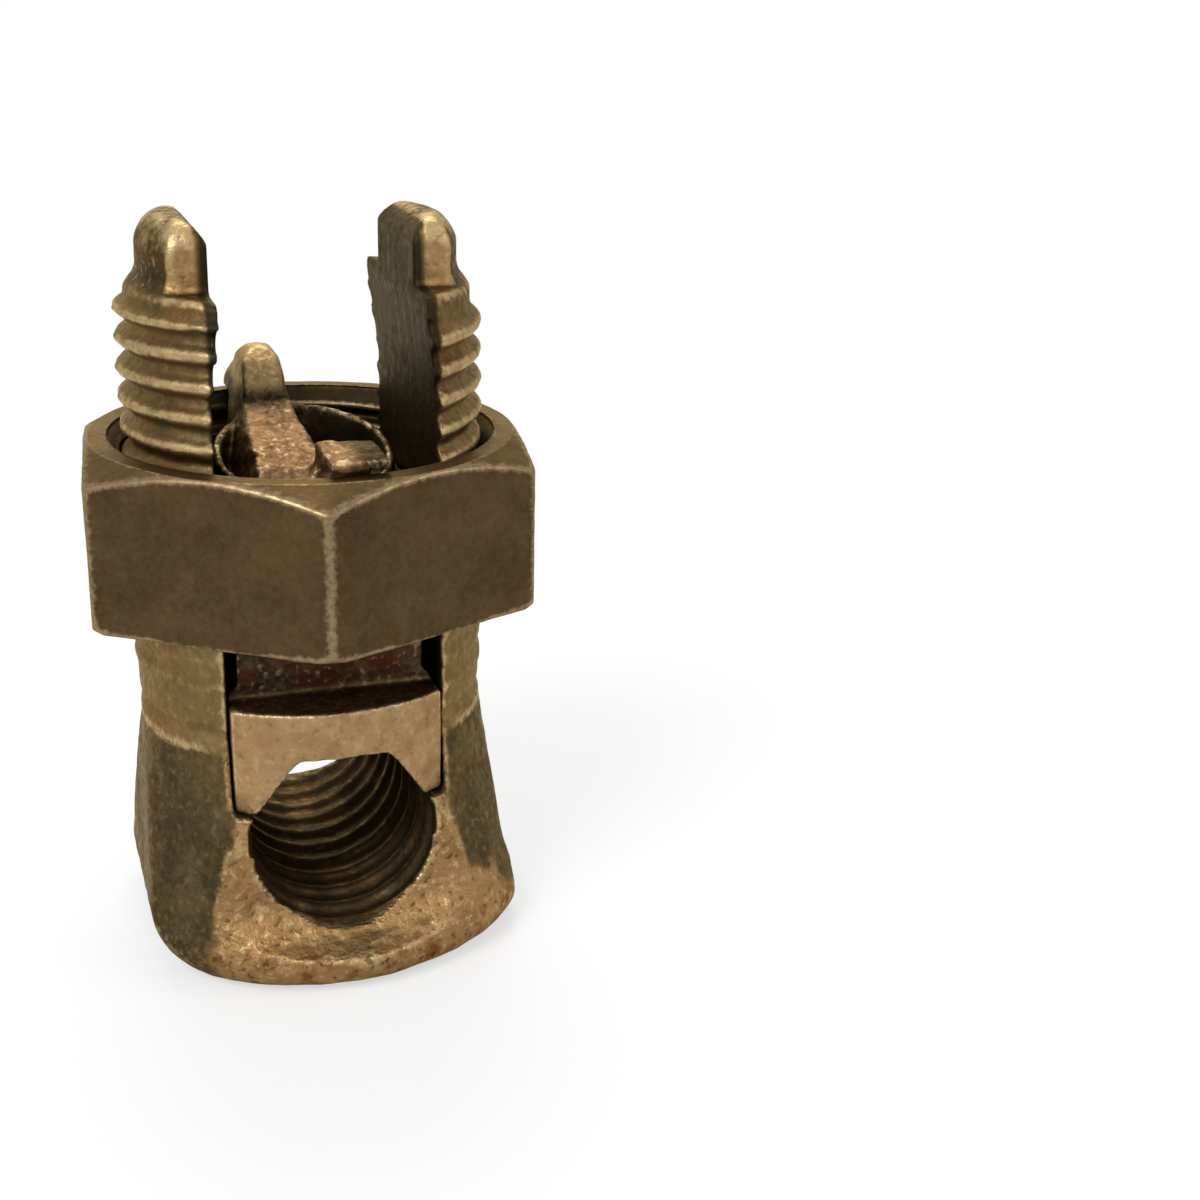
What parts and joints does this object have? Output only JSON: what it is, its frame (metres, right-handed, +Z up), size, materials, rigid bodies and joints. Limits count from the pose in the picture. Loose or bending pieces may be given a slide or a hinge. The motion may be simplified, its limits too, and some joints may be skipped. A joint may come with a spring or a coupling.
{
  "type": "split bolt connector",
  "caption": "Slotted bolt with a flared head, a hexagon nut and a captive pressure bar that clamps electrical conductors side by side.",
  "frame": {"origin": "centre of the underside of the bolt's round foot, on the bolt axis", "axes": "+Z up the bolt axis towards the leg tips, X across the two legs, Y along the conductors"},
  "size_m": [0.0198, 0.0218, 0.033],
  "materials": {
    "cast_bronze": "rough cast and tumbled, dull olive gold with bright worn edges",
    "bar_bronze": "fine cast, warm tan gold, rough pinkish ridge on top",
    "nut_bronze": "smooth dark olive brown oxide with light edges"
  },
  "bodies": {
    "split_bolt": {"split_bolt": "cast_bronze"},
    "pressure_bar": {"pressure_bar": "bar_bronze"},
    "hex_nut": {"hex_nut": "nut_bronze"}
  },
  "joints": [
    {"name": "bar_travel", "type": "slide", "parent": "split_bolt", "child": "pressure_bar", "axis": [0, 0, 1], "range_m": [0, 0.013]},
    {"name": "nut_turn", "type": "hinge", "parent": "pressure_bar", "child": "hex_nut", "pos_m": [0, 0, 0.02], "axis": [0, 0, 1], "range_deg": [0, 3600]}
  ],
  "couplings": [
    {"joint": "nut_turn", "follows": "bar_travel", "rad_per_m": 4833.2}
  ]
}
